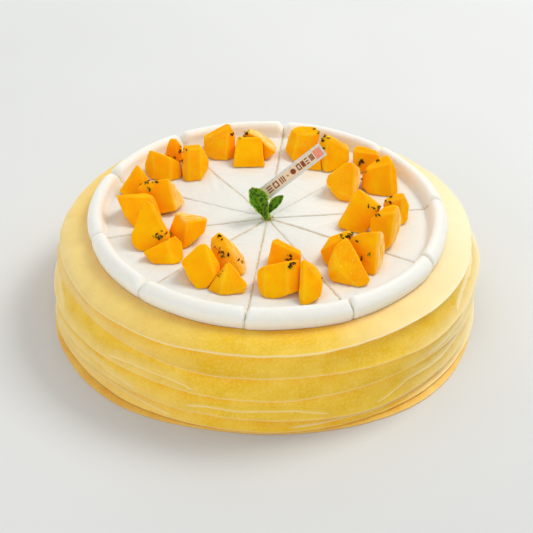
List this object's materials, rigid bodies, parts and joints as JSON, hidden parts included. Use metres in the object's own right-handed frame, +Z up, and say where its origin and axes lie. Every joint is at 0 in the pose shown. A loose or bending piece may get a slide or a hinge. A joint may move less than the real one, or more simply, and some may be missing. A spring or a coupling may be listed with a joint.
{
  "type": "mango crepe cake",
  "caption": "Round mille crepe cake with draped crepe sides, a whipped cream top cut into slices, diced mango heaps, mint and a decorative pick.",
  "frame": {"origin": "centre of the cake's underside, on the surface it stands on", "axes": "+Z up, -Y towards the front of the cake, +X to the right seen from the front"},
  "size_m": [0.1996, 0.1992, 0.0743],
  "materials": {
    "crepe": "soft matte cooked egg crepe",
    "cream": "smooth spread whipped cream",
    "mango": "moist cut fruit",
    "mint": "fresh leaf",
    "pick_card": "printed card, matt"
  },
  "bodies": {
    "root": {"cream_slice_01": "cream", "cream_slice_02": "cream", "cream_slice_03": "cream", "cream_slice_04": "cream", "cream_slice_05": "cream", "cream_slice_06": "cream", "cream_slice_07": "cream", "cream_slice_08": "cream", "cream_slice_09": "cream", "cream_slice_10": "cream", "crepe_1": "crepe", "crepe_2": "crepe", "crepe_3": "crepe", "crepe_4": "crepe", "crepe_5": "crepe", "crepe_6": "crepe", "mango_a1": "mango", "mango_a2": "mango", "mango_a3": "mango", "mango_b1": "mango", "mango_b2": "mango", "mango_b3": "mango", "mango_c1": "mango", "mango_c2": "mango", "mango_c3": "mango", "mango_d1": "mango", "mango_d2": "mango", "mango_d3": "mango", "mango_e1": "mango", "mango_e2": "mango", "mango_e3": "mango", "mango_f1": "mango", "mango_f2": "mango", "mango_f3": "mango", "mango_g1": "mango", "mango_g2": "mango", "mango_g3": "mango", "mango_h1": "mango", "mango_h2": "mango", "mango_h3": "mango", "mango_i1": "mango", "mango_i2": "mango", "mango_i3": "mango", "mango_j1": "mango", "mango_j2": "mango", "mango_j3": "mango", "mint_leaf_1": "mint", "mint_leaf_2": "mint", "mint_stem": "mint", "pick": "pick_card"}
  },
  "joints": []
}
